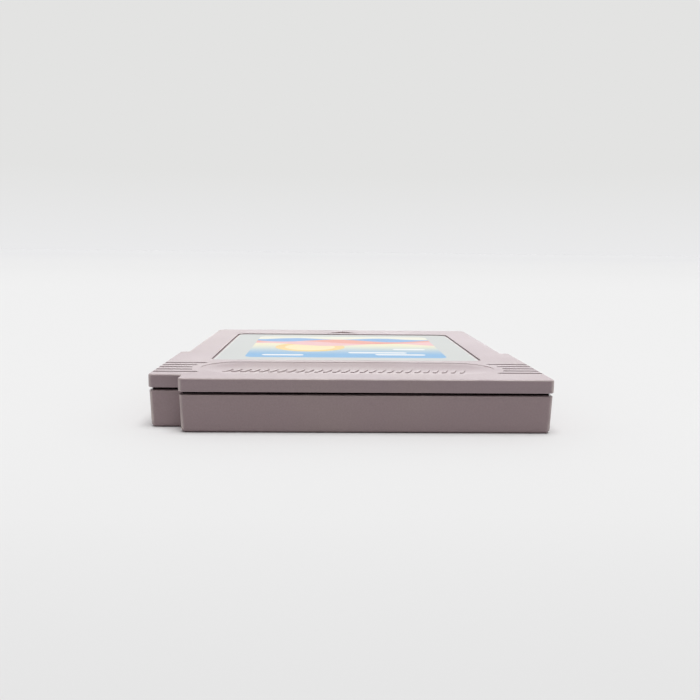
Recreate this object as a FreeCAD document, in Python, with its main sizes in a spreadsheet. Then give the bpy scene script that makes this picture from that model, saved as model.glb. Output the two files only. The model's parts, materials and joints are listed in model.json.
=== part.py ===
import FreeCAD, Part
import math
import os

import Sketcher

# Game cartridge: two moulded half shells, closed by one screw round a board with an edge connector.
# X runs to the right with the label upright, Y towards the grip end, Z up out of the label face.
# The rear face lies on Z = 0 and the origin is the middle of the footprint. Sizes are millimetres.

driving_sizes = {
    # outside of the closed case
    "cart_width": 57.0,
    "cart_length": 65.2,
    "rear_height": 5.33,
    "seam_gap": 0.42,
    "front_depth": 1.87,
    "notch_width": 4.8,
    "notch_depth": 3.3,
    "shoulder_length": 27.9,
    "rear_draft": 1.9,
    "rear_set_in": 0.1,
    # rounded corners and edges
    "grip_corner": 0.85,
    "plug_corner": 1.6,
    "shoulder_corner": 0.8,
    "inner_corner": 0.4,
    "top_round": 0.2,
    "rear_round": 0.6,
    # walls and the lap between the shells
    "rear_wall": 1.25,
    "rear_floor": 1.0,
    "front_plate": 1.25,
    "front_skirt": 1.0,
    "skirt_drop": 1.0,
    "front_end_wall": 1.2,
    "side_clearance": 0.1,
    "lip_inset": 0.5,
    "lip_end_inset": 0.75,
    "lip_corner": 0.4,
    "lap_clearance": 0.05,
    # grip grooves and the recess between them
    "groove_start": 6.15,
    "groove_pitch": 2.15,
    "groove_width": 0.65,
    "groove_depth": 0.35,
    "pill_side": 6.4,
    "pill_start": 4.9,
    "pill_width": 11.2,
    "pill_depth": 0.05,
    "pill_ledge": 0.05,
    "pill_dish": 0.4,
    "pill_band": 1.35,
    # label and its recess
    "label_side": 6.5,
    "label_start": 18.4,
    "label_end": 8.0,
    "label_recess": 0.25,
    "label_corner": 1.6,
    "label_clearance": 0.35,
    "label_thickness": 0.12,
    # insertion arrow
    "arrow_gap": 1.8,
    "arrow_width": 7.0,
    "arrow_height": 3.2,
    "arrow_depth": 0.2,
    # board, its seats and the plug mouth
    "board_inset": 1.6,
    "board_length": 36.5,
    "board_clearance": 0.45,
    "board_thickness": 0.8,
    "board_gap": 0.32,
    "mouth_side": 3.5,
    "ledge_start": 19.0,
    "ledge_length": 9.0,
    "ledge_reach": 3.0,
    "pin_inset": 1.6,
    "pin_diameter": 1.6,
    "pin_clearance": 0.1,
    "rib_start": 24.6,
    "rib_length": 6.0,
    "rib_width": 1.2,
    # hooks at the grip end
    "hook_offset": 13.0,
    "hook_width": 5.0,
    "hook_thickness": 1.0,
    "hook_reach": 1.1,
    "hook_foot": 0.8,
    "catch_height": 3.2,
    "catch_thickness": 1.0,
    "hook_clearance": 0.2,
    # screw and its bosses
    "screw_start": 36.0,
    "seat_depth": 1.9,
    "seat_thickness": 1.1,
    "counterbore": 6.2,
    "rear_boss": 8.8,
    "front_boss": 5.2,
    "boss_clearance": 0.4,
    "flange_diameter": 5.0,
    "flange_height": 0.4,
    "head_diameter": 3.8,
    "head_height": 1.0,
    "flute_diameter": 0.9,
    "shank_diameter": 2.4,
    "shank_length": 4.2,
    "shank_clearance": 0.3,
    "thread_clearance": 0.03,
    "tip_clearance": 0.2,
    "tip_chamfer": 0.4,
    # edge contacts
    "contact_pitch": 1.5,
    "contact_width": 1.0,
    "contact_length": 6.5,
    "contact_inset": 0.4,
    "contact_margin": 1.2,
    "contact_thickness": 0.05,
    # chips
    "chip_standoff": 0.1,
    "chip_height": 2.0,
    "chip_draft": 7.0,
    "lead_pitch": 1.27,
    "lead_width": 0.4,
    "lead_thickness": 0.2,
    "lead_foot": 0.8,
    "memory_offset": -11.0,
    "memory_start": 21.6,
    "memory_width": 11.2,
    "memory_length": 20.6,
    "memory_span": 14.1,
    "bank_offset": 12.0,
    "bank_start": 20.6,
    "bank_width": 7.5,
    "bank_length": 15.4,
    "bank_span": 10.3,
    # chip capacitors
    "capacitor_offset": 1.4,
    "capacitor_start": 16.0,
    "capacitor_spacing": 11.0,
    "capacitor_length": 2.0,
    "capacitor_width": 1.25,
    "capacitor_height": 1.0,
    "capacitor_cap": 0.4,
}
groove_count = 5
flute_count = 6
memory_pair_count = 16
bank_pair_count = 12
capacitor_count = 2

doc = FreeCAD.newDocument("game_cartridge")
sheet = doc.addObject("Spreadsheet::Sheet", "sizes")
for row, (alias, number) in enumerate(driving_sizes.items(), start=1):
    sheet.set(f"A{row}", alias)
    sheet.set(f"B{row}", str(number))
    sheet.setAlias(f"B{row}", alias)
doc.recompute()

# Places that several pieces share, as expressions on the sheet
half_width = "(sizes.cart_width / 2)"
grip_end = "(sizes.cart_length / 2)"
plug_end = "(-sizes.cart_length / 2)"
shoulder_y = f"({grip_end} - sizes.shoulder_length)"
front_side = f"({half_width} - sizes.rear_wall - sizes.side_clearance)"
front_rim = "(sizes.rear_height + sizes.seam_gap)"
label_face = f"({front_rim} + sizes.front_depth)"
plate_under = f"({label_face} - sizes.front_plate)"
rim_wall = "(sizes.lip_inset - sizes.lap_clearance)"
rim_end_wall = "(sizes.lip_end_inset - sizes.lap_clearance)"
board_high = f"({plate_under} - sizes.board_gap)"
board_low = f"({board_high} - sizes.board_thickness)"
board_side = f"({front_side} - sizes.front_skirt - sizes.board_clearance)"
board_plug = f"({plug_end} + sizes.board_inset)"
boss_meet = "(sizes.seat_depth + sizes.seat_thickness)"
screw_y = f"({plug_end} + sizes.screw_start)"
pin_x = f"({board_side} - sizes.pin_inset)"
pin_y = f"({plug_end} + sizes.ledge_start + sizes.pin_inset)"
recess_side = f"({half_width} - sizes.label_side)"
recess_top = f"({grip_end} - sizes.label_start)"
recess_low = f"({plug_end} + sizes.label_end)"
recess_floor = f"({label_face} - sizes.label_recess)"

near = 1e-4
sub_parts = []


def value(expression):
    return float(sheet.evalExpression(expression))


def negative(expression):
    return f"(-{expression})"


def new_body(label):
    body = doc.addObject("PartDesign::Body", label)
    body.Label = label
    sub_parts.append(body)
    return body


def origin_feature(body, role):
    return next(feature for feature in body.Origin.OriginFeatures if feature.Role == role)


def place(body, **base):
    for axis, expression in base.items():
        body.setExpression(f"Placement.Base.{axis}", expression)


def new_sketch(body, name, offset, plane="XY_Plane"):
    sketch = body.newObject("Sketcher::SketchObject", name)
    sketch.AttachmentSupport = [(origin_feature(body, plane), "")]
    sketch.MapMode = "FlatFace"
    sketch.setExpression("AttachmentOffset.Base.z", offset)
    return sketch


def pin_point(sketch, axis, geometry, point, expression):
    # Zero is held by the sketch's own axis, any other place by a distance from its origin.
    if expression == "0":
        crossing_axis = -2 if axis == "X" else -1
        sketch.addConstraint(Sketcher.Constraint("PointOnObject", geometry, point, crossing_axis))
        return
    distance = Sketcher.Constraint(f"Distance{axis}", -1, 1, geometry, point, value(expression))
    index = sketch.addConstraint(distance)
    sketch.setExpression(f"Constraints[{index}]", expression)


def pin_radius(sketch, geometry, expression):
    index = sketch.addConstraint(Sketcher.Constraint("Radius", geometry, value(expression)))
    sketch.setExpression(f"Constraints[{index}]", expression)


def add_lines(sketch, corners):
    points = [FreeCAD.Vector(value(x), value(y), 0) for x, y in corners]
    following = points[1:] + points[:1]
    lines = [sketch.addGeometry(Part.LineSegment(*ends), False) for ends in zip(points, following)]
    for line, next_line in zip(lines, lines[1:] + lines[:1]):
        sketch.addConstraint(Sketcher.Constraint("Coincident", line, 2, next_line, 1))
    return lines


def add_outline(sketch, corners):
    # Closed outline of level and upright lines, from the expressions of its corners
    lines = add_lines(sketch, corners)
    for line, (x, y), (_, next_y) in zip(lines, corners, corners[1:] + corners[:1]):
        level = y == next_y
        sketch.addConstraint(Sketcher.Constraint("Horizontal" if level else "Vertical", line))
        pin_point(sketch, "Y" if level else "X", line, 1, y if level else x)


def add_rectangle(sketch, left, right, low, high):
    add_outline(sketch, [(left, low), (right, low), (right, high), (left, high)])


def add_triangle(sketch, corners):
    for line, (x, y) in zip(add_lines(sketch, corners), corners):
        pin_point(sketch, "X", line, 1, x)
        pin_point(sketch, "Y", line, 1, y)


def add_circle(sketch, x, y, radius):
    middle = FreeCAD.Vector(value(x), value(y), 0)
    up = FreeCAD.Vector(0, 0, 1)
    circle = sketch.addGeometry(Part.Circle(middle, up, value(radius)), False)
    pin_point(sketch, "X", circle, 3, x)
    pin_point(sketch, "Y", circle, 3, y)
    pin_radius(sketch, circle, radius)


def add_slot(sketch, half_length, middle_y, radius):
    # Slot with round ends, level and centred on X = 0
    end_x = f"({half_length} - {radius})"
    x, y, r = value(end_x), value(middle_y), value(radius)
    up = FreeCAD.Vector(0, 0, 1)
    quarter = math.pi / 2
    right_arc = Part.ArcOfCircle(Part.Circle(FreeCAD.Vector(x, y, 0), up, r), -quarter, quarter)
    left_arc = Part.ArcOfCircle(Part.Circle(FreeCAD.Vector(-x, y, 0), up, r), quarter, 3 * quarter)
    right = sketch.addGeometry(right_arc, False)
    top = sketch.addGeometry(Part.LineSegment(right_arc.EndPoint, left_arc.StartPoint), False)
    left = sketch.addGeometry(left_arc, False)
    low = sketch.addGeometry(Part.LineSegment(left_arc.EndPoint, right_arc.StartPoint), False)
    for one, other in ((right, top), (top, left), (left, low), (low, right)):
        sketch.addConstraint(Sketcher.Constraint("Tangent", one, 2, other, 1))
    sketch.addConstraint(Sketcher.Constraint("Equal", right, left))
    sketch.addConstraint(Sketcher.Constraint("Horizontal", top))
    pin_point(sketch, "X", right, 3, end_x)
    pin_point(sketch, "Y", right, 3, middle_y)
    pin_point(sketch, "X", left, 3, negative(end_x))
    pin_radius(sketch, right, radius)


def pad(body, sketch, length, down=False, draft=None):
    feature = body.newObject("PartDesign::Pad", sketch.Name + "_pad")
    feature.Profile = sketch
    feature.Reversed = down
    feature.setExpression("Length", length)
    if draft is not None:
        feature.setExpression("TaperAngle", draft)
    doc.recompute()
    return feature


def pocket(body, sketch, depth, up=False):
    before = body.Shape.Volume
    feature = body.newObject("PartDesign::Pocket", sketch.Name + "_pocket")
    feature.Profile = sketch
    feature.Reversed = up
    feature.setExpression("Length", depth)
    doc.recompute()
    if not feature.Shape.Volume < before:
        raise RuntimeError(f"{feature.Name} removes nothing")
    return feature


def scoop(body, name, half_length, middle_y, radius, height, depth):
    # Dish with a slot's outline: a wide cylinder along X between two balls of the same radius
    sweep = f"(({radius} ^ 2 + {depth} ^ 2) / (2 * {depth}))"
    centre_z = f"({height} - {depth} + {sweep})"
    end_x = f"({half_length} - {radius})"
    trough = body.newObject("PartDesign::SubtractiveCylinder", f"{name}_trough")
    trough.Placement = FreeCAD.Placement(FreeCAD.Vector(), FreeCAD.Rotation(FreeCAD.Vector(0, 1, 0), 90))
    trough.setExpression("Height", f"2 * {end_x}")
    ends = [body.newObject("PartDesign::SubtractiveSphere", f"{name}_end") for _ in range(2)]
    for feature, start_x in zip([trough, *ends], [negative(end_x), negative(end_x), end_x]):
        feature.setExpression("Radius", sweep)
        place(feature, x=start_x, y=middle_y, z=centre_z)
    doc.recompute()


def repeat(body, original, axis, count, length):
    pattern = body.newObject("PartDesign::LinearPattern", original.Name + "_row")
    pattern.Originals = [original]
    pattern.Direction = (origin_feature(body, axis), [""])
    pattern.Occurrences = count
    pattern.setExpression("Length", length)
    body.Tip = pattern
    doc.recompute()


def edges_where(body, test):
    return [f"Edge{number}" for number, edge in enumerate(body.Tip.Shape.Edges, start=1) if test(edge)]


def rising_edges(body, corners, height):
    # Edges that leave the level plane at this height from one of these corners
    starts = [FreeCAD.Vector(value(x), value(y), value(height)) for x, y in corners]

    def rises(edge):
        ends = [vertex.Point for vertex in edge.Vertexes]
        if len(ends) < 2 or abs(ends[0].z - ends[1].z) < near:
            return False
        return any(start.distanceToPoint(end) < near for start in starts for end in ends)

    return edges_where(body, rises)


def level_edges(body, height):
    level = value(height)

    def lies_level(edge):
        box = edge.BoundBox
        return max(abs(box.ZMin - level), abs(box.ZMax - level)) < near

    return edges_where(body, lies_level)


def round_edges(body, edges, radius, name):
    fillet = body.newObject("PartDesign::Fillet", name)
    fillet.Base = (fillet.BaseFeature, edges)
    fillet.setExpression("Radius", radius)
    doc.recompute()


def round_corners(body, corners, height, radius, name):
    round_edges(body, rising_edges(body, corners, height), radius, name)


def notched_corners(inset, end_inset):
    # Grip end corners from the right side round to the left, with the notch, set in from sides and end
    right = f"({half_width} - {inset})"
    top = f"({grip_end} - {end_inset})"
    notch_x = f"({half_width} - sizes.notch_width - {inset})"
    notch_y = f"({grip_end} - sizes.notch_depth - {end_inset})"
    return [(right, notch_y), (notch_x, notch_y), (notch_x, top), (negative(right), top)]


def stepped_outline(side, low, shoulder, inset, end_inset):
    # Outline of the front half: narrow at the plug end, wide from the shoulders to the grip end
    upper = notched_corners(inset, end_inset)
    right = upper[0][0]
    left = upper[-1][0]
    lower = [(negative(side), low), (side, low), (side, shoulder), (right, shoulder)]
    return lower + upper + [(left, shoulder), (negative(side), shoulder)]


def straight_outline(low, inset):
    # Outline of the rear half: full width from end to end
    upper = notched_corners(inset, inset)
    return [(upper[-1][0], low), (upper[0][0], low)] + upper


def both_sides(sketch, inner, outer, low, high):
    add_rectangle(sketch, inner, outer, low, high)
    add_rectangle(sketch, negative(outer), negative(inner), low, high)


def hook_rectangles(sketch, extra, low, high):
    inner = f"(sizes.hook_offset - sizes.hook_width / 2 - {extra})"
    outer = f"(sizes.hook_offset + sizes.hook_width / 2 + {extra})"
    both_sides(sketch, inner, outer, low, high)


# Rear shell: a drafted tray with the lap lip, board ledges, screw seat and plug mouth
rear = new_body("rear_shell")
rear_corners = straight_outline(f"({plug_end} + sizes.rear_set_in)", "sizes.rear_set_in")
tray = new_sketch(rear, "tray", "sizes.rear_height")
add_outline(tray, rear_corners)
pad(rear, tray, "sizes.rear_height", down=True, draft="-sizes.rear_draft")
plug_left, plug_right, notch_side, notch_root, notch_top, grip_left = rear_corners
rear_rim = "sizes.rear_height"
round_corners(rear, [plug_left, plug_right], rear_rim, "sizes.plug_corner", "tray_plug_corners")
round_corners(rear, [notch_side, notch_top, grip_left], rear_rim, "sizes.grip_corner", "tray_grip_corners")
round_corners(rear, [notch_root], rear_rim, "sizes.inner_corner", "tray_notch_root")
round_edges(rear, level_edges(rear, "0"), "sizes.rear_round", "tray_rear_edges")

cavity = new_sketch(rear, "cavity", "sizes.rear_height")
add_outline(cavity, straight_outline(f"({plug_end} + sizes.rear_wall)", "sizes.rear_wall"))
pocket(rear, cavity, "sizes.rear_height - sizes.rear_floor")

lip_outer = notched_corners("sizes.lip_inset", "sizes.lip_end_inset")
lip_inner = notched_corners("sizes.rear_wall", "sizes.rear_wall")
lip_low = f"({shoulder_y} + sizes.lip_inset)"
lip = new_sketch(rear, "lip", "sizes.rear_height")
add_outline(
    lip,
    [(lip_outer[0][0], lip_low)]
    + lip_outer
    + [(lip_outer[-1][0], lip_low), (lip_inner[-1][0], lip_low)]
    + lip_inner[::-1]
    + [(lip_inner[0][0], lip_low)],
)
lip_high = f"({plate_under} - sizes.lap_clearance)"
pad(rear, lip, f"{lip_high} - sizes.rear_height")
lip_side, _, lip_top, lip_left = lip_outer
round_corners(rear, [lip_side, lip_top, lip_left], lip_high, "sizes.lip_corner", "lip_corners")

mouth = new_sketch(rear, "mouth", "sizes.rear_height")
mouth_side = f"({half_width} - sizes.mouth_side)"
mouth_low = f"({plug_end} - sizes.rear_wall)"
mouth_high = f"({plug_end} + 2 * sizes.rear_wall)"
add_rectangle(mouth, negative(mouth_side), mouth_side, mouth_low, mouth_high)
pocket(rear, mouth, "sizes.rear_height - sizes.rear_floor")

ledges = new_sketch(rear, "ledges", "sizes.rear_floor")
ledge_low = f"({plug_end} + sizes.ledge_start)"
ledge_high = f"({ledge_low} + sizes.ledge_length)"
both_sides(ledges, f"({board_side} - sizes.ledge_reach)", board_side, ledge_low, ledge_high)
pad(rear, ledges, f"{board_low} - sizes.rear_floor")

pins = new_sketch(rear, "pins", board_low)
for pin_side in (pin_x, negative(pin_x)):
    add_circle(pins, pin_side, pin_y, "(sizes.pin_diameter / 2)")
pad(rear, pins, "sizes.board_thickness")

catch_wall = f"({grip_end} - sizes.rear_wall)"
catch_face = f"({catch_wall} - sizes.hook_reach)"
catches = new_sketch(rear, "catches", "sizes.catch_height")
hook_rectangles(catches, "sizes.hook_clearance", catch_face, f"({grip_end} - sizes.rear_wall / 2)")
pad(rear, catches, "sizes.catch_thickness")

seat_boss = new_sketch(rear, "seat_boss", "sizes.rear_floor")
add_circle(seat_boss, "0", screw_y, "(sizes.rear_boss / 2)")
pad(rear, seat_boss, f"{boss_meet} - sizes.rear_floor")
head_bore = new_sketch(rear, "head_bore", "0")
add_circle(head_bore, "0", screw_y, "(sizes.counterbore / 2)")
pocket(rear, head_bore, "sizes.seat_depth", up=True)
shank_bore = new_sketch(rear, "shank_bore", "sizes.seat_depth")
add_circle(shank_bore, "0", screw_y, "(sizes.shank_diameter / 2 + sizes.shank_clearance)")
pocket(rear, shank_bore, "2 * sizes.seat_thickness", up=True)

# Front shell: the label face, its grip grooves and recesses, and the skirt that drops inside the tray
front = new_body("front_shell")
front_corners = stepped_outline(front_side, plug_end, shoulder_y, "0", "0")
face = new_sketch(front, "face", front_rim)
add_outline(face, front_corners)
pad(front, face, "sizes.front_depth")
plug_left, plug_right, step_right, shoulder_right = front_corners[:4]
notch_side, notch_root, notch_top, grip_left, shoulder_left, step_left = front_corners[4:]
round_corners(front, [plug_left, plug_right], front_rim, "sizes.plug_corner", "face_plug_corners")
round_corners(front, [notch_side, notch_top, grip_left], front_rim, "sizes.grip_corner", "face_grip_corners")
round_corners(front, [shoulder_right, shoulder_left], front_rim, "sizes.shoulder_corner", "face_shoulders")
round_corners(front, [step_right, step_left, notch_root], front_rim, "sizes.inner_corner", "face_roots")
round_edges(front, level_edges(front, label_face), "sizes.top_round", "face_top_edges")

hollow = new_sketch(front, "hollow", front_rim)
add_outline(
    hollow,
    stepped_outline(
        f"({front_side} - sizes.front_skirt)",
        f"({plug_end} + sizes.front_end_wall)",
        f"({shoulder_y} + {rim_wall})",
        rim_wall,
        rim_end_wall,
    ),
)
pocket(front, hollow, f"{plate_under} - {front_rim}", up=True)

skirt = new_sketch(front, "skirt", plate_under)
skirt_low = f"({plug_end} + sizes.rear_wall + sizes.side_clearance)"
both_sides(skirt, f"({front_side} - sizes.front_skirt)", front_side, skirt_low, shoulder_y)
pad(front, skirt, f"{plate_under} - sizes.rear_height + sizes.skirt_drop", down=True)

groove = new_sketch(front, "groove", label_face)
groove_y = f"({grip_end} - sizes.groove_start - {groove_count - 1} * sizes.groove_pitch)"
past_side = f"({half_width} + sizes.groove_width)"
groove_low = f"({groove_y} - sizes.groove_width / 2)"
groove_high = f"({groove_y} + sizes.groove_width / 2)"
add_rectangle(groove, negative(past_side), past_side, groove_low, groove_high)
one_groove = pocket(front, groove, "sizes.groove_depth")
repeat(front, one_groove, "Y_Axis", groove_count, f"{groove_count - 1} * sizes.groove_pitch")

pill_half = f"({half_width} - sizes.pill_side)"
pill_y = f"({grip_end} - sizes.pill_start - sizes.pill_width / 2)"
band = new_sketch(front, "band", f"{label_face} - sizes.groove_depth")
add_slot(band, f"({pill_half} + sizes.pill_band)", pill_y, "(sizes.pill_width / 2 + sizes.pill_band)")
pad(front, band, "sizes.groove_depth")
pill = new_sketch(front, "pill", label_face)
add_slot(pill, pill_half, pill_y, "(sizes.pill_width / 2)")
pocket(front, pill, "sizes.pill_depth")
dish_half = f"({pill_half} - sizes.pill_ledge)"
dish_radius = "(sizes.pill_width / 2 - sizes.pill_ledge)"
scoop(front, "pill_dish", dish_half, pill_y, dish_radius, label_face, "sizes.pill_dish")

recess_corners = [
    (negative(recess_side), recess_low),
    (recess_side, recess_low),
    (recess_side, recess_top),
    (negative(recess_side), recess_top),
]
recess = new_sketch(front, "recess", label_face)
add_outline(recess, recess_corners)
pocket(front, recess, "sizes.label_recess")
round_corners(front, recess_corners, label_face, "sizes.label_corner", "recess_corners")

arrow_high = f"({recess_low} - sizes.arrow_gap)"
arrow = new_sketch(front, "arrow", label_face)
add_triangle(
    arrow,
    [
        ("(-sizes.arrow_width / 2)", arrow_high),
        ("0", f"({arrow_high} - sizes.arrow_height)"),
        ("(sizes.arrow_width / 2)", arrow_high),
    ],
)
pocket(front, arrow, "sizes.arrow_depth")

ribs = new_sketch(front, "ribs", plate_under)
rib_low = f"({plug_end} + sizes.rib_start)"
rib_outer = f"({board_side} - sizes.rib_width / 2)"
both_sides(ribs, f"({rib_outer} - sizes.rib_width)", rib_outer, rib_low, f"({rib_low} + sizes.rib_length)")
pad(front, ribs, "sizes.board_gap", down=True)

hook_high = f"({catch_face} - sizes.hook_clearance)"
foot_high = "(sizes.catch_height - sizes.hook_clearance)"
hooks = new_sketch(front, "hooks", plate_under)
hook_rectangles(hooks, "0", f"({hook_high} - sizes.hook_thickness)", hook_high)
pad(front, hooks, f"{plate_under} - {foot_high} + sizes.hook_foot", down=True)
feet = new_sketch(front, "feet", foot_high)
hook_rectangles(feet, "0", f"({hook_high} - sizes.hook_thickness / 2)", f"({hook_high} + sizes.hook_reach)")
pad(front, feet, "sizes.hook_foot", down=True)

thread_boss = new_sketch(front, "thread_boss", plate_under)
add_circle(thread_boss, "0", screw_y, "(sizes.front_boss / 2)")
pad(front, thread_boss, f"{plate_under} - {boss_meet}", down=True)
thread_bore = new_sketch(front, "thread_bore", boss_meet)
add_circle(thread_bore, "0", screw_y, "(sizes.shank_diameter / 2 + sizes.thread_clearance)")
pocket(front, thread_bore, "sizes.shank_length - sizes.seat_thickness + sizes.tip_clearance", up=True)

# Label: a printed sticker on the floor of its recess
label = new_body("label")
label_side = f"({recess_side} - sizes.label_clearance)"
label_low = f"({recess_low} + sizes.label_clearance)"
label_high = f"({recess_top} - sizes.label_clearance)"
label_corners = [
    (negative(label_side), label_low),
    (label_side, label_low),
    (label_side, label_high),
    (negative(label_side), label_high),
]
sticker = new_sketch(label, "sticker", recess_floor)
add_outline(sticker, label_corners)
pad(label, sticker, "sizes.label_thickness")
label_radius = "sizes.label_corner - sizes.label_clearance"
round_corners(label, label_corners, recess_floor, label_radius, "sticker_corners")

# Circuit board: lies on the rear shell's ledges and pins, open round the screw boss
board = new_body("circuit_board")
blank = new_sketch(board, "blank", board_low)
add_rectangle(blank, negative(board_side), board_side, board_plug, f"({board_plug} + sizes.board_length)")
pad(board, blank, "sizes.board_thickness")
openings = new_sketch(board, "openings", board_high)
add_circle(openings, "0", screw_y, "(sizes.front_boss / 2 + sizes.boss_clearance)")
for pin_side in (pin_x, negative(pin_x)):
    add_circle(openings, pin_side, pin_y, "(sizes.pin_diameter / 2 + sizes.pin_clearance)")
pocket(board, openings, "2 * sizes.board_thickness")

# Edge contacts: a row of flat pads on the board's rear side, as many as fit across it
contacts = new_body("edge_contacts")
contact_room = value(f"2 * {board_side} - 2 * sizes.contact_margin")
contact_count = int(contact_room / value("sizes.contact_pitch"))
row_length = f"({contact_count - 1} * sizes.contact_pitch)"
contact_low = f"({board_plug} + sizes.contact_inset)"
contact = new_sketch(contacts, "contact", board_low)
add_rectangle(
    contact,
    f"(-{row_length} / 2 - sizes.contact_width / 2)",
    f"(-{row_length} / 2 + sizes.contact_width / 2)",
    contact_low,
    f"({contact_low} + sizes.contact_length)",
)
one_contact = pad(contacts, contact, "sizes.contact_thickness", down=True)
repeat(contacts, one_contact, "X_Axis", contact_count, row_length)


def add_chip(name, kind, pair_count):
    # A moulded chip and its two rows of formed leads, hung under the board at the chip's own origin
    half = f"(sizes.{kind}_width / 2)"
    reach = f"(sizes.{kind}_span / 2)"
    half_length = f"(sizes.{kind}_length / 2)"
    where = {"x": f"sizes.{kind}_offset", "y": f"{plug_end} + sizes.{kind}_start", "z": board_low}
    middle = "(-sizes.chip_standoff - sizes.chip_height / 2)"

    chip = new_body(name)
    for side, down in (("upper", False), ("lower", True)):
        moulding = new_sketch(chip, f"{name}_{side}", middle)
        add_rectangle(moulding, negative(half), half, negative(half_length), half_length)
        pad(chip, moulding, "sizes.chip_height / 2", down=down, draft="-sizes.chip_draft")
    place(chip, **where)

    leads = new_body(f"{name}_leads")
    row = f"({pair_count - 1} * sizes.lead_pitch)"
    bend = f"({reach} - sizes.lead_foot)"
    profile = [
        (half, f"({middle} - sizes.lead_thickness / 2)"),
        (f"({bend} + sizes.lead_thickness)", f"({middle} - sizes.lead_thickness / 2)"),
        (f"({bend} + sizes.lead_thickness)", "(-sizes.lead_thickness)"),
        (reach, "(-sizes.lead_thickness)"),
        (reach, "0"),
        (bend, "0"),
        (bend, f"({middle} + sizes.lead_thickness / 2)"),
        (half, f"({middle} + sizes.lead_thickness / 2)"),
    ]
    pair = new_sketch(leads, f"{name}_lead_pair", f"{row} / 2 - sizes.lead_width / 2", plane="XZ_Plane")
    add_outline(pair, profile)
    add_outline(pair, [(negative(x), z) for x, z in profile])
    one_pair = pad(leads, pair, "sizes.lead_width")
    repeat(leads, one_pair, "Y_Axis", pair_count, row)
    place(leads, **where)


add_chip("memory_chip", "memory", memory_pair_count)
add_chip("bank_switch_chip", "bank", bank_pair_count)

# Chip capacitors: ceramic bodies and the metal end caps that are soldered down
cap_end = "(sizes.capacitor_length / 2)"
cap_inner = f"({cap_end} - sizes.capacitor_cap)"
cap_side = "(sizes.capacitor_width / 2)"
cap_place = {"x": "sizes.capacitor_offset", "y": f"{plug_end} + sizes.capacitor_start", "z": board_low}
cap_row = f"{capacitor_count - 1} * sizes.capacitor_spacing"
ceramics = new_body("capacitors")
ceramic = new_sketch(ceramics, "ceramic", "0")
add_rectangle(ceramic, negative(cap_inner), cap_inner, negative(cap_side), cap_side)
one_ceramic = pad(ceramics, ceramic, "sizes.capacitor_height", down=True)
repeat(ceramics, one_ceramic, "Y_Axis", capacitor_count, cap_row)
place(ceramics, **cap_place)
terminals = new_body("capacitor_terminals")
terminal = new_sketch(terminals, "terminal", "0")
both_sides(terminal, cap_inner, cap_end, negative(cap_side), cap_side)
one_terminal_pair = pad(terminals, terminal, "sizes.capacitor_height", down=True)
repeat(terminals, one_terminal_pair, "Y_Axis", capacitor_count, cap_row)
place(terminals, **cap_place)

# Case screw: a fluted security head under a flange, with its own origin on the seat
screw = new_body("case_screw")
flange = new_sketch(screw, "flange", "0")
add_circle(flange, "0", "0", "(sizes.flange_diameter / 2)")
pad(screw, flange, "sizes.flange_height", down=True)
head = new_sketch(screw, "head", "-sizes.flange_height")
add_circle(head, "0", "0", "(sizes.head_diameter / 2)")
pad(screw, head, "sizes.head_height", down=True)
flute = new_sketch(screw, "flute", "-sizes.flange_height - sizes.head_height")
add_circle(flute, "(sizes.head_diameter / 2)", "0", "(sizes.flute_diameter / 2)")
one_flute = pocket(screw, flute, "sizes.head_height", up=True)
flutes = screw.newObject("PartDesign::PolarPattern", "flutes")
flutes.Originals = [one_flute]
flutes.Axis = (origin_feature(screw, "Z_Axis"), [""])
flutes.Occurrences = flute_count
screw.Tip = flutes
doc.recompute()
shank = new_sketch(screw, "shank", "0")
add_circle(shank, "0", "0", "(sizes.shank_diameter / 2)")
pad(screw, shank, "sizes.shank_length")
tip_edges = level_edges(screw, "sizes.shank_length")
tip = screw.newObject("PartDesign::Chamfer", "tip")
tip.Base = (tip.BaseFeature, tip_edges)
tip.setExpression("Size", "sizes.tip_chamfer")
place(screw, y=screw_y, z="sizes.seat_depth")

doc.recompute()
for item in doc.Objects:
    if {"Invalid", "Error"} & set(item.State):
        raise RuntimeError(f"{item.Name} is {item.State}")
for sub_part in sub_parts:
    if sub_part.Shape.isNull() or not sub_part.Shape.isValid():
        raise RuntimeError(f"{sub_part.Label} has no valid shape")
os.makedirs("parts", exist_ok=True)
for sub_part in sub_parts:
    sub_part.Shape.exportStep(f"parts/{sub_part.Label}.step")
    print(sub_part.Label, len(sub_part.Shape.Solids), "solids", round(sub_part.Shape.Volume, 2), "mm3")
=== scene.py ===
import json
import math

import bmesh
import bpy
from mathutils import Matrix, Vector

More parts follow.
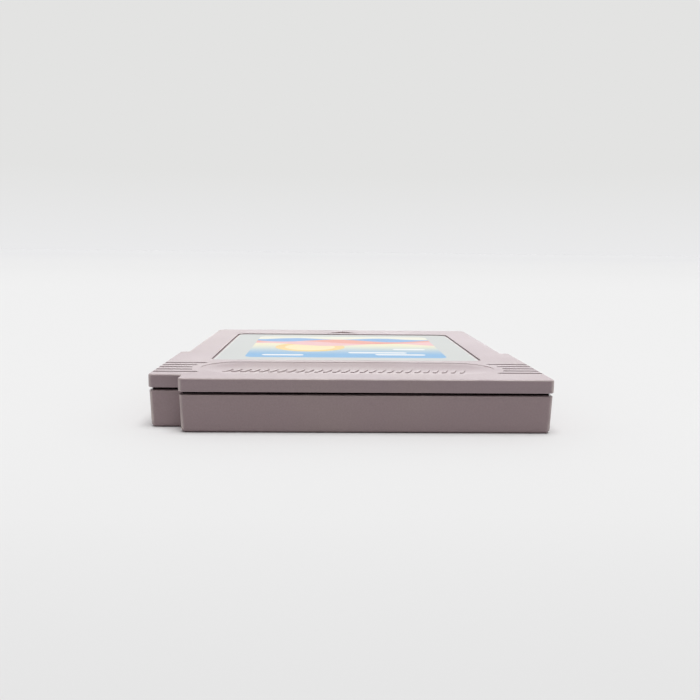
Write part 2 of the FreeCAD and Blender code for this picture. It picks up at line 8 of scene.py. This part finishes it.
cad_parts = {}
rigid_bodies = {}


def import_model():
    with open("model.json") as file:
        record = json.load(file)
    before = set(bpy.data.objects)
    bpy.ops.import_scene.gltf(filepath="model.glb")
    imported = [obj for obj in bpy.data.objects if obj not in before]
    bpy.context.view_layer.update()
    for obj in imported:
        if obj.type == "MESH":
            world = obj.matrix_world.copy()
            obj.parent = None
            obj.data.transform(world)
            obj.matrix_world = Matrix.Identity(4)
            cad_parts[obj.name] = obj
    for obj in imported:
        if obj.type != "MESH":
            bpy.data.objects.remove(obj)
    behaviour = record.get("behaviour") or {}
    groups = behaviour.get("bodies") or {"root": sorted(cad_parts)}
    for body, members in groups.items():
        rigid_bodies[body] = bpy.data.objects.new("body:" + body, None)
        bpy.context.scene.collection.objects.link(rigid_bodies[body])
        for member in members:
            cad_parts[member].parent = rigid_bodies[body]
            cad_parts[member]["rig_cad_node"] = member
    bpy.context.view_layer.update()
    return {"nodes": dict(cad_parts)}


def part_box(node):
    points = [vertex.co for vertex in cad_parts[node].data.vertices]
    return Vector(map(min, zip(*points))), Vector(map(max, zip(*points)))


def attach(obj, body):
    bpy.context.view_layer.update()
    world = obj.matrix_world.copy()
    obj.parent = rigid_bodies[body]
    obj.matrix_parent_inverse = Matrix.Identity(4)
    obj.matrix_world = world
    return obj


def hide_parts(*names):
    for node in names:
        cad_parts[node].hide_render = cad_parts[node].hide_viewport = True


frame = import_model()
nodes = frame["nodes"]
mm = 0.001
print("frame loaded with", len(nodes), "pieces")


class ShaderValue:  # one socket, so that shader maths reads as plain maths
    def __init__(self, finish, socket):
        self.finish = finish
        self.socket = socket

    def other(self, output):  # another output of the same node
        return ShaderValue(self.finish, self.socket.node.outputs[output])

    def __add__(self, value):
        return self.finish.maths("ADD", self, value)

    def __sub__(self, value):
        return self.finish.maths("SUBTRACT", self, value)

    def __rsub__(self, value):
        return self.finish.maths("SUBTRACT", value, self)

    def __mul__(self, value):
        return self.finish.maths("MULTIPLY", self, value)

    def __truediv__(self, value):
        return self.finish.maths("DIVIDE", self, value)

    def __rtruediv__(self, value):
        return self.finish.maths("DIVIDE", value, self)

    def __abs__(self):
        return self.finish.maths("ABSOLUTE", self)

    __radd__ = __add__
    __rmul__ = __mul__


class Finish:  # the nodes of one material, or of the world
    def __init__(self, owner, coordinates="Object"):
        owner.use_nodes = True
        self.owner = owner
        self.tree = owner.node_tree
        self.tree.nodes.clear()
        self.place = self.node("TexCoord", output=coordinates)

    def node(self, kind, settings=None, sockets=None, output=0):
        made = self.tree.nodes.new("ShaderNode" + kind)
        for name, setting in (settings or {}).items():
            if name == "stops":
                self.setStops(made.color_ramp, setting)
            else:
                setattr(made, name, setting)
        for name, given in (sockets or {}).items():
            if isinstance(given, ShaderValue):
                self.tree.links.new(given.socket, made.inputs[name])
            else:
                made.inputs[name].default_value = given
        return ShaderValue(self, made.outputs[output]) if made.outputs else None

    def setStops(self, ramp, stops):
        while len(ramp.elements) < len(stops):
            ramp.elements.new(1)
        for element, (position, colour) in zip(ramp.elements, stops):
            element.position = position
            element.color = colour

    def maths(self, operation, *values):
        return self.node("Math", {"operation": operation}, dict(enumerate(values)))

    def most(self, first, second):
        return self.maths("MAXIMUM", first, second)

    def least(self, first, second):
        return self.maths("MINIMUM", first, second)

    def length(self, first, second):
        return self.maths("SQRT", first * first + second * second)

    def mix(self, factor, first, second):  # colours: the second one where the factor is 1
        return self.node("Mix", {"data_type": "RGBA"}, {0: factor, 6: first, 7: second}, output=2)

    def fade(self, value, start, end):  # 0 at the start, 1 at the end
        settings = {"interpolation_type": "SMOOTHSTEP"}
        return self.node("MapRange", settings, {"Value": value, "From Min": start, "From Max": end})

    def axes(self):  # x, y and z in millimetres
        x = self.node("SeparateXYZ", sockets={"Vector": self.place})
        return [x.other(axis) / mm for axis in "XYZ"]

    def stretched(self, scale):  # coordinates for marks that run along an axis
        return self.node("Mapping", sockets={"Vector": self.place, "Scale": scale})

    def noise(self, scale, detail=2, place=None):  # lumps of about 1 / scale metres
        sockets = {"Vector": place or self.place, "Scale": scale, "Detail": detail}
        return self.node("TexNoise", sockets=sockets)

    def patches(self, scale, start, full, detail=2, place=None):  # 0 below start, 1 above full
        return self.fade(self.noise(scale, detail, place), start, full)

    def specks(self, cell, radius, share, core, soft):  # in a share of the cells, millimetres
        distance = self.node("TexVoronoi", sockets={"Vector": self.place, "Scale": 1 / (cell * mm)})
        chance = self.node("SeparateColor", sockets={"Color": distance.other("Color")})
        edge = radius / cell
        return self.fade(distance, edge, edge * core) * self.fade(chance, 1 - share, 1 + soft - share)

    def mottle(self, colour, noise, depth):  # darker and lighter by half this depth
        value = 1 - depth / 2 + depth * noise
        return self.node("HueSaturation", sockets={"Color": colour, "Value": value})

    def bump(self, height, depth, under=None):  # depth in millimetres
        sockets = {"Height": height, "Distance": depth * mm}
        if under:
            sockets["Normal"] = under
        return self.node("Bump", sockets=sockets)

    def surface(self, sockets):
        shader = self.node("BsdfPrincipled", sockets=sockets)
        self.node("OutputMaterial", sockets={"Surface": shader})
        return self.owner


def newFinish(name):
    return Finish(bpy.data.materials.new(name))


def ink(red, green, blue):  # a colour as a screen shows it, 0 to 255
    linear = [((part / 255 + 0.055) / 1.055) ** 2.4 for part in (red, green, blue)]
    return (*linear, 1)


# Moulded plastic of both shells: fine spark grain, soft changes of tint, small dark specks, rubbed edges
# with painted highlight, painted shade in the seam
plasticLook = {
    "front": ink(158, 139, 144),
    "rear": ink(156, 136, 139),
    "aged": ink(160, 142, 141),
    # lighter rounded edges: part wear, part painted highlight
    "rubbed": ink(204, 190, 186),
    "speck": ink(70, 60, 62),
    # painted shade: the lip inside the seam is coloured near black for the shadow in the gap
    "seamShade": ink(16, 9, 10),
    "grain": 0.24,  # millimetres, as are the pebble and the depths
    "pebble": 0.7,
    "grainDepth": 0.018,
    "pebbleDepth": 0.005,
    "mottle": 0.26,
    "patches": {"scale": 45, "start": 0.4, "full": 0.7},
    "ageing": 0.6,
    "rubs": {"scale": 260, "start": 0.25, "full": 0.6, "detail": 3},
    "wornAndHighlitAll": 0.3,  # how far any rounded edge goes to the rubbed colour, as wear and painted highlight
    "wornAndHighlitMore": 0.6,  # and how much further in the rubs
    "specks": {"cell": 3.4, "radius": 0.17, "share": 0.22, "core": 0.5, "soft": 0.02},
    "speckStrength": 0.85,
    "seamShadeFade": 0.05,
    "roughness": 0.46,
    "handlingScale": 120,
    "handling": 0.1,
    "edgePolish": 0.06,
    "ior": 1.5,
}


def plasticFinish(name, shade, seamShadeFrom=None):  # painted shade lies above this height, on the lip inside the seam
    look = plasticLook
    f = newFinish(name)
    grain = f.noise(1 / (look["grain"] * mm), detail=3)
    pebble = f.noise(1 / (look["pebble"] * mm), detail=1)
    colour = f.mix(f.patches(**look["patches"]) * look["ageing"], look[shade], look["aged"])
    colour = f.mottle(colour, grain, look["mottle"])
    # rounded edges lightened, part wear and part painted highlight
    edge = f.node("Attribute", {"attribute_name": "edgeWear"}, output="Fac")
    rubbed = edge * (look["wornAndHighlitAll"] + look["wornAndHighlitMore"] * f.patches(**look["rubs"]))
    colour = f.mix(rubbed, colour, look["rubbed"])
    colour = f.mix(f.specks(**look["specks"]) * look["speckStrength"], colour, look["speck"])
    gloss = {"IOR": look["ior"]}
    if seamShadeFrom:
        _, _, z = f.axes()
        # painted shade on the lip inside the seam
        seamShade = f.fade(z, seamShadeFrom, seamShadeFrom + look["seamShadeFade"])
        colour = f.mix(seamShade, colour, look["seamShade"])
        gloss["Metallic"] = seamShade  # takes the plastic's own sheen off the lip, so its painted shade stays black
    handling = f.noise(look["handlingScale"], detail=3) - 0.5
    roughness = look["roughness"] + look["handling"] * handling - look["edgePolish"] * edge
    coarse = f.bump(pebble, look["pebbleDepth"])
    normal = f.bump(grain, look["grainDepth"], under=coarse)
    return f.surface({"Base Color": colour, "Roughness": roughness, "Normal": normal, **gloss})


# Printed sticker: a sun and hills in flat colours on pale paper, with rubbed edges
labelLook = {
    "paper": ink(190, 193, 191),
    "edge": ink(222, 222, 220),
    "skyHigh": ink(110, 164, 206),
    "skyLow": ink(222, 216, 186),
    "cloud": ink(224, 226, 226),
    "sun": ink(226, 196, 132),
    "sunHeart": ink(228, 214, 170),
    "panel": (17.0, 15.4, 1.4),  # half width, half height and corner of the printed field
    "sky": (-3, 13),  # where the low sky ends and the high sky starts
    "sunPlace": (6.4, 1.6, 6.4),  # x, y and radius
    "sunHeartShare": 0.72,
    "clouds": [(-9.4, 11.6, 3.6), (-5.6, 9.2, 4.4), (10.8, 12.4, 2.8), (-11.6, 4.4, 2.2)],  # x, y, reach
    "cloudRadius": 0.75,
    "hills": [  # level, swell, waves across, start of the wave, colour
        (-2.2, 2.0, 0.26, 0.8, ink(222, 178, 180)),
        (-5.4, 2.2, 0.21, 2.6, ink(220, 152, 138)),
        (-8.4, 1.9, 0.29, 4.3, ink(122, 164, 208)),
        (-11.4, 1.1, 0.38, 1.2, ink(218, 217, 202)),
    ],
    "soft": 0.07,
    "fibreScale": 2600,
    "fibre": 0.1,
    "corner": 1.25,
    "raggedScale": 700,
    "ragged": 0.7,
    "rubs": (-0.15, 0.45),  # from the edge, where rubbing starts and where it is full
    "rubbing": 0.8,
    "roughness": 0.56,
    "handlingScale": 160,
    "handling": 0.08,
    "waveScale": 200,
    "waveDepth": 0.003,
    "ior": 1.5,
}


def boxDistance(f, x, y, halfWide, halfHigh, corner):  # from a rounded box, below 0 inside it
    across = abs(x) - (halfWide - corner)
    along = abs(y) - (halfHigh - corner)
    outside = f.length(f.most(across, 0), f.most(along, 0))
    return outside + f.least(f.most(across, along), 0) - corner


def labelFinish():
    look = labelLook
    f = newFinish("printedLabel")
    low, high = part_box("label")
    halfSize = (high - low) / 2 / mm
    x, y, _ = f.axes()
    y = y - (low.y + high.y) / 2 / mm

    def inside(distance):
        return f.fade(distance, look["soft"], -look["soft"])

    art = f.mix(f.fade(y, *look["sky"]), look["skyLow"], look["skyHigh"])
    sunX, sunY, sunRadius = look["sunPlace"]
    fromSun = f.length(x - sunX, y - sunY)
    art = f.mix(inside(fromSun - sunRadius), art, look["sun"])
    art = f.mix(inside(fromSun - sunRadius * look["sunHeartShare"]), art, look["sunHeart"])
    for cloudX, cloudY, reach in look["clouds"]:
        fromBar = f.length(f.most(abs(x - cloudX) - reach, 0), y - cloudY)
        art = f.mix(inside(fromBar - look["cloudRadius"]), art, look["cloud"])
    for level, swell, waves, start, colour in look["hills"]:
        crest = level + swell * f.maths("SINE", x * waves + start)
        art = f.mix(inside(y - crest), art, colour)
    printed = f.mottle(art, f.noise(look["fibreScale"], detail=3), look["fibre"])
    colour = f.mix(inside(boxDistance(f, x, y, *look["panel"])), look["paper"], printed)

    fromEdge = boxDistance(f, x, y, halfSize.x, halfSize.y, look["corner"])
    rubbed = f.fade(fromEdge + look["ragged"] * f.noise(look["raggedScale"]), *look["rubs"])
    colour = f.mix(rubbed * look["rubbing"], colour, look["edge"])
    roughness = look["roughness"] + look["handling"] * f.noise(look["handlingScale"], detail=3)
    normal = f.bump(f.noise(look["waveScale"], detail=1), look["waveDepth"])
    gloss = {"Roughness": roughness, "IOR": look["ior"]}
    return f.surface({"Base Color": colour, "Normal": normal, **gloss})


# Board: solder mask over copper tracks that run on from the contacts
boardLook = {
    "mask": ink(30, 92, 58),
    "track": ink(52, 128, 78),
    "laminate": ink(146, 140, 92),
    "pitch": 1.5,
    "trackWidth": 0.42,
    "trackSoft": 0.08,
    "trackHeight": 0.03,
    "trackStrength": 0.8,
    "clothScale": 1500,
    "cloth": 0.3,
    "cutStart": 0.01,  # below the board's faces, where its cut edge starts to show
    "cutFull": 0.05,
    "roughness": 0.3,
    "cutRoughness": 0.3,
}


def boardFinish():
    look = boardLook
    f = newFinish("solderMask")
    low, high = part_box("circuit_board")
    halfThick = (high.z - low.z) / 2 / mm
    x, _, z = f.axes()
    fromTrack = abs(f.maths("FRACT", x / look["pitch"]) - 0.5) * look["pitch"]
    halfTrack = look["trackWidth"] / 2
    tracks = f.fade(fromTrack, halfTrack, halfTrack - look["trackSoft"])
    colour = f.mix(tracks * look["trackStrength"], look["mask"], look["track"])
    colour = f.mottle(colour, f.noise(look["clothScale"]), look["cloth"])
    fromMiddle = abs(z - (low.z + high.z) / 2 / mm)
    cutEdge = f.fade(fromMiddle, halfThick - look["cutStart"], halfThick - look["cutFull"])
    colour = f.mix(cutEdge, colour, look["laminate"])
    roughness = look["roughness"] + look["cutRoughness"] * cutEdge
    normal = f.bump(tracks, look["trackHeight"])
    return f.surface({"Base Color": colour, "Roughness": roughness, "Normal": normal})


# Plated contacts: gold with fine rub marks along the way in
goldLook = {
    "gold": ink(226, 186, 104),
    "rubbed": ink(196, 160, 96),
    "marks": {"scale": 400, "start": 0.45, "full": 0.7, "detail": 3},
    "stretch": (14, 0.5, 1),
    "roughness": 0.22,
    "rubbedRoughness": 0.2,
}


def goldFinish():
    look = goldLook
    f = newFinish("platedGold")
    marks = f.patches(**look["marks"], place=f.stretched(look["stretch"]))
    colour = f.mix(marks, look["gold"], look["rubbed"])
    roughness = look["roughness"] + look["rubbedRoughness"] * marks
    return f.surface({"Base Color": colour, "Metallic": 1.0, "Roughness": roughness})


# Metals: tinned leads and the zinc plated screw
metalLook = {
    "tin": {"bright": ink(196, 197, 196), "dull": ink(150, 150, 148), "rough": 0.34},
    "zinc": {"bright": ink(178, 178, 180), "dull": ink(128, 126, 122), "rough": 0.3},
    "tarnish": {"scale": 700, "start": 0.4, "full": 0.75, "detail": 4},
    "tarnishRoughness": 0.2,
    "fineScale": 5200,
    "fineDepth": 0.008,
}


def metalFinish(name, bright, dull, rough):
    look = metalLook
    f = newFinish(name)
    tarnish = f.patches(**look["tarnish"])
    colour = f.mix(tarnish, bright, dull)
    roughness = rough + look["tarnishRoughness"] * tarnish
    normal = f.bump(f.noise(look["fineScale"]), look["fineDepth"])
    return f.surface({"Base Color": colour, "Metallic": 1.0, "Roughness": roughness, "Normal": normal})


# Moulded epoxy of the chips and the fired ceramic of the capacitors
grainyLook = {
    "epoxy": {"dark": ink(38, 38, 40), "pale": ink(60, 59, 58), "rough": 0.6},
    "ceramic": {"dark": ink(166, 132, 96), "pale": ink(142, 110, 78), "rough": 0.4},
    "speckleScale": 4200,
    "speckleFade": (0.45, 0.75),
    "speckleDepth": 0.02,
    "speckleRoughness": 0.1,
}


def grainyFinish(name, dark, pale, rough):
    look = grainyLook
    f = newFinish(name)
    speckle = f.noise(look["speckleScale"])
    colour = f.mix(f.fade(speckle, *look["speckleFade"]), dark, pale)
    roughness = rough + look["speckleRoughness"] * speckle
    normal = f.bump(speckle, look["speckleDepth"])
    return f.surface({"Base Color": colour, "Roughness": roughness, "Normal": normal})


# What the shaping below goes by, in millimetres and degrees
edgeCare = {
    "merge": 0.0005,
    "flat": 0.02,  # faces that turn less than this become one
    "level": 0.002,  # how far an edge may be off its height
    "turned": 35,  # an edge that turns more than this gets a round
    "wall": 0.1,  # if its wall is taller than this
    "smooth": 35,
}


def pickOnly(piece):
    bpy.ops.object.select_all(action="DESELECT")
    piece.select_set(True)
    bpy.context.view_layer.objects.active = piece


def carryOver(node, name, finish):  # a merged copy of a CAD node, which stands for it
    pickOnly(nodes[node])
    bpy.ops.object.duplicate()
    piece = bpy.context.active_object
    piece.name = name
    piece.data.name = name
    del piece["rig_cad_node"]
    bpy.ops.mesh.customdata_custom_splitnormals_clear()
    bpy.ops.object.mode_set(mode="EDIT")
    bpy.ops.mesh.select_all(action="SELECT")
    bpy.ops.mesh.remove_doubles(threshold=edgeCare["merge"] * mm)
    bpy.ops.mesh.dissolve_limited(angle_limit=math.radians(edgeCare["flat"]))
    bpy.ops.object.mode_set(mode="OBJECT")
    piece.data.materials.clear()
    piece.data.materials.append(finish)
    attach(piece, "root")
    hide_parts(node)
    return piece


def outerEdge(height, start=-math.inf):  # picks level convex edges at this height, past this y
    def apart(vert):
        return abs(vert.co.z / mm - height)

    def wanted(edge):
        if max(apart(vert) for vert in edge.verts) > edgeCare["level"]:
            return False
        if not edge.is_manifold or min(vert.co.y for vert in edge.verts) / mm < start:
            return False
        wall = max(apart(vert) for face in edge.link_faces for vert in face.verts)
        turned = edge.calc_face_angle_signed()
        return wall > edgeCare["wall"] and turned > math.radians(edgeCare["turned"])

    return wanted


def outermost(edges):  # of these edges, the chain that reaches furthest out
    chain = [max(edges, key=lambda edge: max(abs(vert.co.x) for vert in edge.verts))]
    for edge in chain:  # the list grows as the chain is followed
        for vert in edge.verts:
            chain += [near for near in vert.link_edges if near in edges and near not in chain]
    return chain


def roundEdges(piece, wanted, width, segments):
    pickOnly(piece)
    bpy.ops.object.mode_set(mode="EDIT")
    bpy.ops.mesh.select_mode(type="EDGE")
    bpy.ops.mesh.select_all(action="DESELECT")
    shape = bmesh.from_edit_mesh(piece.data)
    for edge in outermost([edge for edge in shape.edges if wanted(edge)]):
        edge.select_set(True)
    bmesh.update_edit_mesh(piece.data)
    # Even widths: the thin faces beside a rim would hold a clamped or sliding bevel to almost nothing
    bpy.ops.mesh.bevel(offset=width * mm, segments=segments, loop_slide=False, clamp_overlap=False)
    bpy.ops.object.mode_set(mode="OBJECT")


# Wear and painted highlight on faces that turn away from every axis, as rounded edges do: none at flat,
# all at turned
wearAndHighlightLook = {"flat": 0.96, "turned": 0.8, "under": -0.2}  # and none on undersides


def wearAndHighlightRounds(piece):
    pickOnly(piece)
    bpy.ops.object.mode_set(mode="EDIT")
    shape = bmesh.from_edit_mesh(piece.data)
    worn = shape.faces.layers.float.new("edgeWear")
    for face in shape.faces:
        facing = max(abs(part) for part in face.normal)
        amount = (wearAndHighlightLook["flat"] - facing) / (wearAndHighlightLook["flat"] - wearAndHighlightLook["turned"])
        face[worn] = min(max(amount, 0), 1) if face.normal.z > wearAndHighlightLook["under"] else 0
    bmesh.update_edit_mesh(piece.data)
    bpy.ops.object.mode_set(mode="OBJECT")


def smoothOver(piece):
    pickOnly(piece)
    bpy.ops.object.shade_smooth_by_angle(angle=math.radians(edgeCare["smooth"]))
    weighted = piece.modifiers.new("weighted", "WEIGHTED_NORMAL")
    weighted.keep_sharp = True
    bpy.ops.object.modifier_apply(modifier=weighted.name)


# Case halves: a small round on the rim at each side of the seam, in millimetres
shellEdges = {
    "rim": 0.12,
    "segments": 4,
    "frontRim": 5.75,  # heights
    "rearRim": 5.33,
    "shoulder": 4.69,  # y where the front's round stops
    "seamShadeAbove": 0.03,  # over the rear rim, where the painted shade of the seam starts
}


def roundRim(piece, height, start=-math.inf):
    roundEdges(piece, outerEdge(height, start), shellEdges["rim"], shellEdges["segments"])
    wearAndHighlightRounds(piece)
    smoothOver(piece)


seamShadeHeight = shellEdges["rearRim"] + shellEdges["seamShadeAbove"]
frontFinish = plasticFinish("mouldedPlasticFront", "front")
rearFinish = plasticFinish("mouldedPlasticRear", "rear", seamShadeFrom=seamShadeHeight)
frontShell = carryOver("front_shell", "frontShellMoulding", frontFinish)
roundRim(frontShell, shellEdges["frontRim"], shellEdges["shoulder"])
rearShell = carryOver("rear_shell", "rearShellMoulding", rearFinish)
roundRim(rearShell, shellEdges["rearRim"])
print("case halves dressed:", len(frontShell.data.polygons), len(rearShell.data.polygons), "faces")

# Label and what the case holds
label = carryOver("label", "labelSticker", labelFinish())
smoothOver(label)
board = carryOver("circuit_board", "boardPanel", boardFinish())
smoothOver(board)
carryOver("edge_contacts", "contactRow", goldFinish())
epoxy = grainyFinish("mouldedEpoxy", **grainyLook["epoxy"])
tin = metalFinish("tinnedLead", **metalLook["tin"])
for chip, chipName in (("memory_chip", "memoryChip"), ("bank_switch_chip", "bankChip")):
    carryOver(chip, chipName + "Body", epoxy)
    carryOver(chip + "_leads", chipName + "Leads", tin)
ceramic = grainyFinish("firedCeramic", **grainyLook["ceramic"])
carryOver("capacitors", "capacitorBodies", ceramic)
carryOver("capacitor_terminals", "capacitorEndCaps", tin)
zinc = metalFinish("zincPlate", **metalLook["zinc"])
screw = carryOver("case_screw", "caseScrew", zinc)
smoothOver(screw)
print("label, board, chips and screw dressed")

# Raised row of slanted bars in the long recess, in millimetres
markLook = {
    "pitch": 1.35,
    "width": 0.55,
    "length": 3.0,
    "height": 0.14,
    "edge": 0.04,
    "segments": 2,
    "count": 27,
    "leanAcross": 0.8,  # of the near end
    "leanUp": 0.1,  # so that the row follows the dish
}
pillPlace = {"x": 0.0, "y": 23.5, "floor": 7.22, "sunk": 0.02}


def pillMarks():
    first = pillPlace["x"] - (markLook["count"] - 1) * markLook["pitch"] / 2
    middle = pillPlace["floor"] - pillPlace["sunk"] + markLook["height"] / 2
    top = middle + markLook["height"] / 2
    bpy.ops.object.select_all(action="DESELECT")
    bpy.ops.mesh.primitive_cube_add(size=mm, location=(first * mm, pillPlace["y"] * mm, middle * mm))
    marks = bpy.context.active_object
    marks.name = marks.data.name = "pillMarks"
    marks.scale = (markLook["width"], markLook["length"], markLook["height"])
    bpy.ops.object.transform_apply(location=True, rotation=True, scale=True)
    roundEdges(marks, outerEdge(top), markLook["edge"], markLook["segments"])
    bpy.ops.object.mode_set(mode="EDIT")
    bpy.ops.mesh.select_all(action="DESELECT")
    shape = bmesh.from_edit_mesh(marks.data)
    for vert in shape.verts:
        vert.select_set(vert.co.y > pillPlace["y"] * mm)
    shape.select_flush_mode()
    bmesh.update_edit_mesh(marks.data)
    bpy.ops.transform.translate(value=(markLook["leanAcross"] * mm, 0, markLook["leanUp"] * mm))
    bpy.ops.object.mode_set(mode="OBJECT")
    wearAndHighlightRounds(marks)
    row = marks.modifiers.new("row", "ARRAY")
    row.use_relative_offset = False
    row.use_constant_offset = True
    row.constant_offset_displace = (markLook["pitch"] * mm, 0, 0)
    row.count = markLook["count"]
    bpy.ops.object.modifier_apply(modifier=row.name)
    smoothOver(marks)
    marks.data.materials.append(frontFinish)
    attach(marks, "root")


pillMarks()
print("raised row added")

# Studio: pale table with painted shade, pale wall, one wide soft light overhead and a low softbox behind
studioLook = {
    "floorSize": 60.0,
    "floorDrop": 0.01,  # millimetres under the part
    "floorTonesWithShade": [  # distance along y in metres, and the table's colour there; the dip from 0.062 m to 0.6 m is painted shade
        (-3.0, ink(229, 229, 230)),
        (-0.9, ink(232, 232, 232)),
        (-0.36, ink(235, 235, 235)),
        (0.03, ink(235, 235, 235)),
        (0.062, ink(233, 233, 233)),
        (0.1, ink(222, 222, 222)),
        (0.6, ink(230, 230, 231)),
    ],
    "floorRoughness": 0.8,
    "floorSpecular": 0.1,
    "wallLow": ink(234, 234, 235),
    "wallHigh": ink(227, 227, 226),
    "wallRise": 0.1,  # how far up the wall has its high colour
    "fillRound": 0.52,
    "fillAhead": 0.0,
    "sheenBehind": ink(234, 234, 234),
    "sheenAhead": ink(150, 150, 150),
    "lightFrom": (-0.05, 0.06, 1.0),
    "lightSpread": 34,
    "lightPower": 2.06,
    "softboxPlace": (-0.2, -3.0, 0.66),
    "softboxSize": (4.0, 0.85),
    "softboxPower": 32,
}


def layFloor():
    bpy.ops.object.select_all(action="DESELECT")
    height = -studioLook["floorDrop"] * mm
    bpy.ops.mesh.primitive_plane_add(size=studioLook["floorSize"], location=(0, 0, height))
    floor = bpy.context.active_object
    floor.name = "studioFloor"
    f = newFinish("paleTable")
    start, end = studioLook["floorTonesWithShade"][0][0], studioLook["floorTonesWithShade"][-1][0]
    stops = [((along - start) / (end - start), tone) for along, tone in studioLook["floorTonesWithShade"]]
    along = f.node("SeparateXYZ", sockets={"Vector": f.place}, output="Y")
    tone = f.node("ValToRGB", {"stops": stops}, {"Fac": (along - start) / (end - start)})
    dull = {"Roughness": studioLook["floorRoughness"], "Specular IOR Level": studioLook["floorSpecular"]}
    floor.data.materials.append(f.surface({"Base Color": tone, **dull}))
    return floor


def aimed(source):  # the turn of a lamp that shines from here to the part
    return Vector(source).to_track_quat("Z", "Y").to_euler()


def lightStudio(floor):
    world = bpy.data.worlds.new("paleRoom")
    bpy.context.scene.world = world
    room = Finish(world, "Generated")
    y = room.node("SeparateXYZ", sockets={"Vector": room.place}, output="Y")
    z = y.other("Z")

    def light(along, start, end):  # a background that goes from one colour to the other
        colour = room.node("ValToRGB", {"stops": [(0, start), (1, end)]}, {"Fac": along})
        return room.node("Background", sockets={"Color": colour})

    levels = studioLook["fillRound"], studioLook["fillAhead"]
    fill = light(y, *[(level, level, level, 1) for level in levels])
    sheen = light(y * 0.5 + 0.5, studioLook["sheenBehind"], studioLook["sheenAhead"])
    wall = light(z / studioLook["wallRise"], studioLook["wallLow"], studioLook["wallHigh"])
    ray = room.node("LightPath", output="Is Camera Ray")
    lit = room.node("MixShader", sockets={0: ray.other("Is Glossy Ray"), 1: fill, 2: sheen})
    seen = room.most(ray, ray.other("Is Transmission Ray"))
    both = room.node("MixShader", sockets={0: seen, 1: lit, 2: wall})
    room.node("OutputWorld", sockets={"Surface": both})

    bpy.ops.object.light_add(type="SUN")
    overhead = bpy.context.active_object
    overhead.rotation_euler = aimed(studioLook["lightFrom"])
    overhead.data.angle = math.radians(studioLook["lightSpread"])
    overhead.data.energy = studioLook["lightPower"]

    bpy.ops.object.light_add(type="AREA", location=studioLook["softboxPlace"])
    softbox = bpy.context.active_object
    softbox.rotation_euler = aimed(studioLook["softboxPlace"])
    softbox.visible_camera = False
    softbox.data.shape = "RECTANGLE"
    softbox.data.size, softbox.data.size_y = studioLook["softboxSize"]
    softbox.data.energy = studioLook["softboxPower"]
    # The softbox gives the object its sheen and leaves the table alone
    pickOnly(floor)
    bpy.context.view_layer.objects.active = softbox
    bpy.ops.object.light_linking_receivers_link(link_state="EXCLUDE")


# Camera: low in front of the grip end, as the photograph was taken
cameraLook = {
    "place": (3.00, 134.36, 25.00),  # millimetres
    "yaw": -1.655,  # degrees off the part's length
    "pitch": 7.444,  # degrees below level
    "roll": 0.60,
    "lens": 38.62,
    "sensor": 36.0,
    "clipStart": 5,  # millimetres
}


def setCamera():
    bpy.ops.object.camera_add()
    camera = bpy.context.active_object
    camera.data.lens = cameraLook["lens"]
    camera.data.sensor_width = cameraLook["sensor"]
    camera.data.clip_start = cameraLook["clipStart"] * mm
    turn = Matrix.Rotation(math.radians(180 + cameraLook["yaw"]), 4, "Z")
    tilt = Matrix.Rotation(math.radians(90 - cameraLook["pitch"]), 4, "X")
    roll = Matrix.Rotation(math.radians(cameraLook["roll"]), 4, "Z")
    camera.matrix_world = Matrix.Translation(Vector(cameraLook["place"]) * mm) @ turn @ tilt @ roll
    bpy.context.scene.camera = camera


lightStudio(layFloor())
setCamera()
bpy.context.scene.view_settings.view_transform = "Standard"
print("studio lit")
